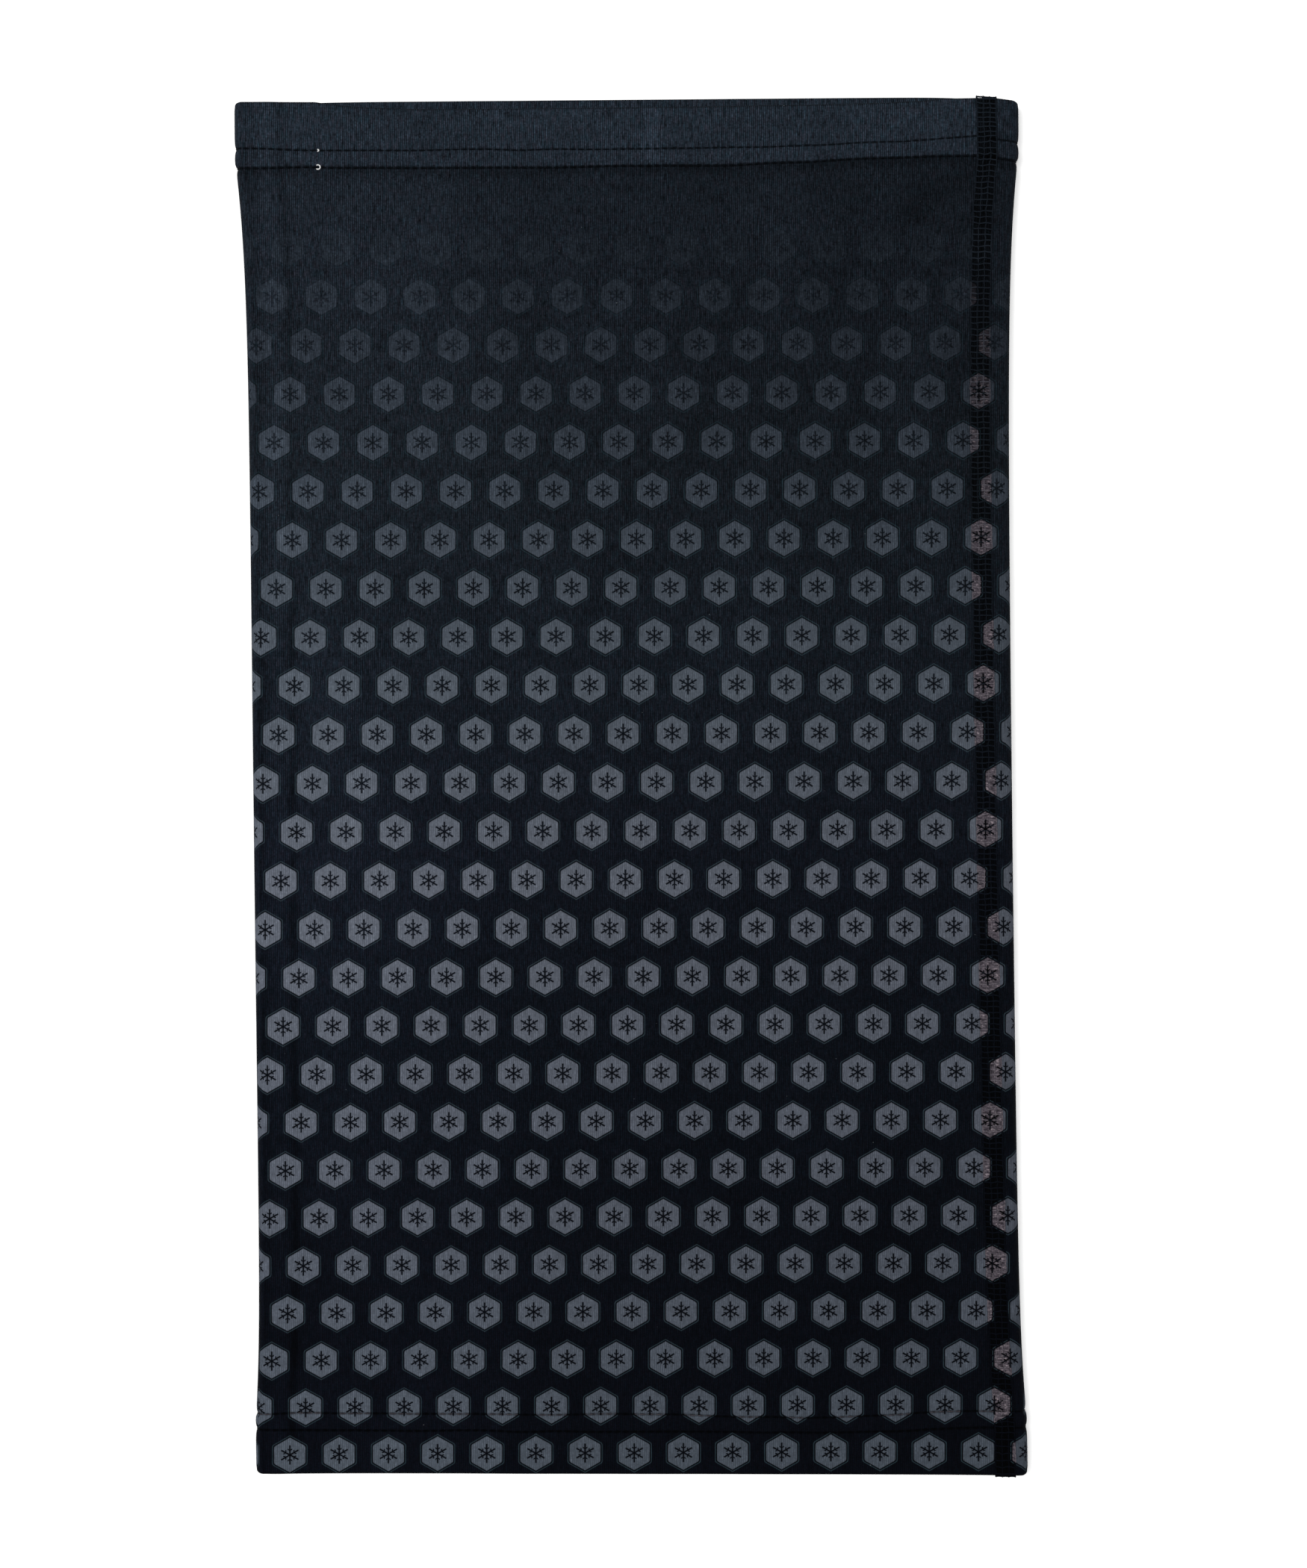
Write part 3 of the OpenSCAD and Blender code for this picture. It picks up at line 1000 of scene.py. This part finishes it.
seamThread = {
    "stitch": 0.00178,
    "span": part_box("right_seam_needle_thread_4")[0].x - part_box("right_seam_needle_thread_1")[0].x,
    "radius": 0.00024,
    "coverRadius": 0.00025,
    "margin": 0.0002,       # the first rung lies this far from the hem's edge, or more
    "rim": 0.0001,          # the rung round the edge: how far out and how far down
    "rimDrop": 0.0007,
    "underRung": 0.00010,   # height of a thread above the cloth's face
    "between": 0.00030,
    "overNeedle": 0.00040,
    "overCloth": 0.00014,
    "slant": 0.00010,
    "jitter": 0.00035,
    # past the edge and above the face, as a needle thread turns over the hem's edge into the tube
    "turnPath": ((-0.0009, 0.00030), (-0.0002, 0.00026), (0.00020, -0.00002), (0.00030, -0.0007),
                 (0.0, -0.0013)),
    "needlePath": ((-0.25, "between"), (0, "underRung"), (0.25, "between"), (0.5, "between")),
    "coverPath": ((-1.03, "underRung"), (-0.97, "overNeedle"), (-0.66, "overCloth"), (-0.33, "overNeedle"),
                  (0, "overCloth"), (0.33, "overNeedle"), (0.66, "overCloth"), (0.97, "overNeedle"),
                  (1.03, "underRung")),
}
seamRungs = 1 + int(2 * (halfLength - seamThread["margin"]) / seamThread["stitch"])
firstRung = -(seamRungs - 1) * seamThread["stitch"] / 2


def seamSpot(side, offset, y):
    # a place across a seam: its x, the y that sets its height, and where y comes to lie
    edgeY = math.copysign(min(abs(y), halfLength), y)
    x = seamLine(edgeY, side) + offset
    over = math.copysign(max(0.0, abs(y) - halfLength), y)
    return x, edgeY, (settle(True, x, edgeY) + settle(False, x, edgeY)) / 2 + over


def seamPoint(side, offset, y, lift):
    # on the outside of a seam; lift is away from the cloth's face
    x, edgeY, settled = seamSpot(side, offset, y)
    z = frontHeight(x, edgeY) + lift if side > 0 else max(seamThread["radius"], backHeight(x, edgeY) - lift)
    return Vector((x, settled, z))


def seamTurn(side, offset, end):
    return [seamPoint(side, offset, end * (halfLength + past), lift) for past, lift in seamThread["turnPath"]]


def seamNeedleRun(side, k):
    offset = ((k - 1) / 3 - 0.5) * seamThread["span"]
    points = seamTurn(side, offset, -1)[::-1]
    for rung in range(1, seamRungs - 1):
        y = firstRung + rung * seamThread["stitch"]
        wander = seamThread["jitter"] * noise.noise(Vector((y * 300, k * 7.3, side * 3.1)))
        for share, lift in seamThread["needlePath"]:
            along = y + share * seamThread["stitch"]
            points.append(seamPoint(side, offset + wander, along, seamThread[lift]))
    return points + seamTurn(side, offset, 1)


def seamCoverRun(side):
    # to and fro over the needle threads: one rung in each stitch, and one more round each hem's edge
    half = seamThread["span"] / 2
    rim = halfLength + seamThread["rim"]
    points = []
    for rung in range(-1, seamRungs + 1):
        atRim = rung in (-1, seamRungs)
        y = min(rim, max(-rim, firstRung + rung * seamThread["stitch"]))
        way = 1 if rung % 2 else -1
        for share, lift in seamThread["coverPath"]:
            slant = seamThread["slant"] * math.sin(share * 4.5) * way
            wander = seamThread["jitter"] * noise.noise(Vector((rung * 1.7, share * 1.9, side * 5.0)))
            along = y if atRim else y + slant + wander
            raised = seamThread[lift] - (seamThread["rimDrop"] if atRim else 0)
            points.append(seamPoint(side, way * share * half, along, raised))
    return points


def seamLooperRun(side):
    # the same on the inside, lower where the hems are
    half = seamThread["span"] / 2
    points = []
    for rung in range(1, seamRungs - 1):
        y = firstRung + rung * seamThread["stitch"]
        way = 1 if rung % 2 else -1
        hemmed = abs(y) > halfLength - (cloth["topHemDepth"] if y > 0 else cloth["bottomHemDepth"])
        under = hemThickness if hemmed else cloth["ply"]
        for share in (-1, -0.5, 0, 0.5, 1):
            drop = under + seamThread["coverRadius"] * (1.2 if abs(share) == 1 else 2.2)
            x, edgeY, settled = seamSpot(side, way * share * half, y)
            z = frontHeight(x, edgeY) - drop if side > 0 else backHeight(x, edgeY) + drop
            points.append(Vector((x, settled, z)))
    return points


for sideName, side in (("right", 1), ("left", -1)):
    for k in range(1, 5):
        threadPiece(f"{sideName}_seam_needle_thread_{k}", [(seamNeedleRun(side, k), 0)],
                    seamThread["radius"], [seamThreadLook])
    threadPiece(f"{sideName}_seam_cover_thread", [(seamCoverRun(side), 0)],
                seamThread["coverRadius"], [coverThreadLook])
    threadPiece(f"{sideName}_seam_looper_thread", [(seamLooperRun(side), 0)],
                seamThread["coverRadius"], [bareThreadLook])
print("seam threads done")


# shares of the light that a level surface gets, and where each sun stands
light = {"sky": 0.505, "overhead": 0.505, "window": 0.36, "windowFrom": (-0.36, 0.16, 1.0), "softness": 0.35}
world = bpy.data.worlds.new("studio")
bpy.context.scene.world = world
world.use_nodes = True
world.node_tree.nodes["Background"].inputs[0].default_value = (1.0, 1.0, 1.0, 1.0)
world.node_tree.nodes["Background"].inputs[1].default_value = light["sky"]


def softSun(name, whence, share):
    data = bpy.data.lights.new(name, "SUN")
    data.angle = light["softness"]
    data.energy = share * math.pi * whence.length / whence.z
    lamp = bpy.data.objects.new(name, data)
    lamp.location = whence
    lamp.rotation_euler = whence.to_track_quat("Z", "Y").to_euler()
    bpy.context.collection.objects.link(lamp)


softSun("overhead", Vector((0, 0, 1)), light["overhead"])
softSun("window", Vector(light["windowFrom"]), light["window"])

view = {"distance": 1.1, "seenHeight": 0.4935, "aimX": 0.0066, "aimY": 0.0005}
cameraData = bpy.data.cameras.new("camera")
cameraData.lens = cameraData.sensor_width * view["distance"] / view["seenHeight"]
camera = bpy.data.objects.new("camera", cameraData)
camera.location = (view["aimX"], view["aimY"], view["distance"] + lyingHeight)
bpy.context.collection.objects.link(camera)
bpy.context.scene.camera = camera
bpy.context.scene.view_settings.view_transform = "Standard"
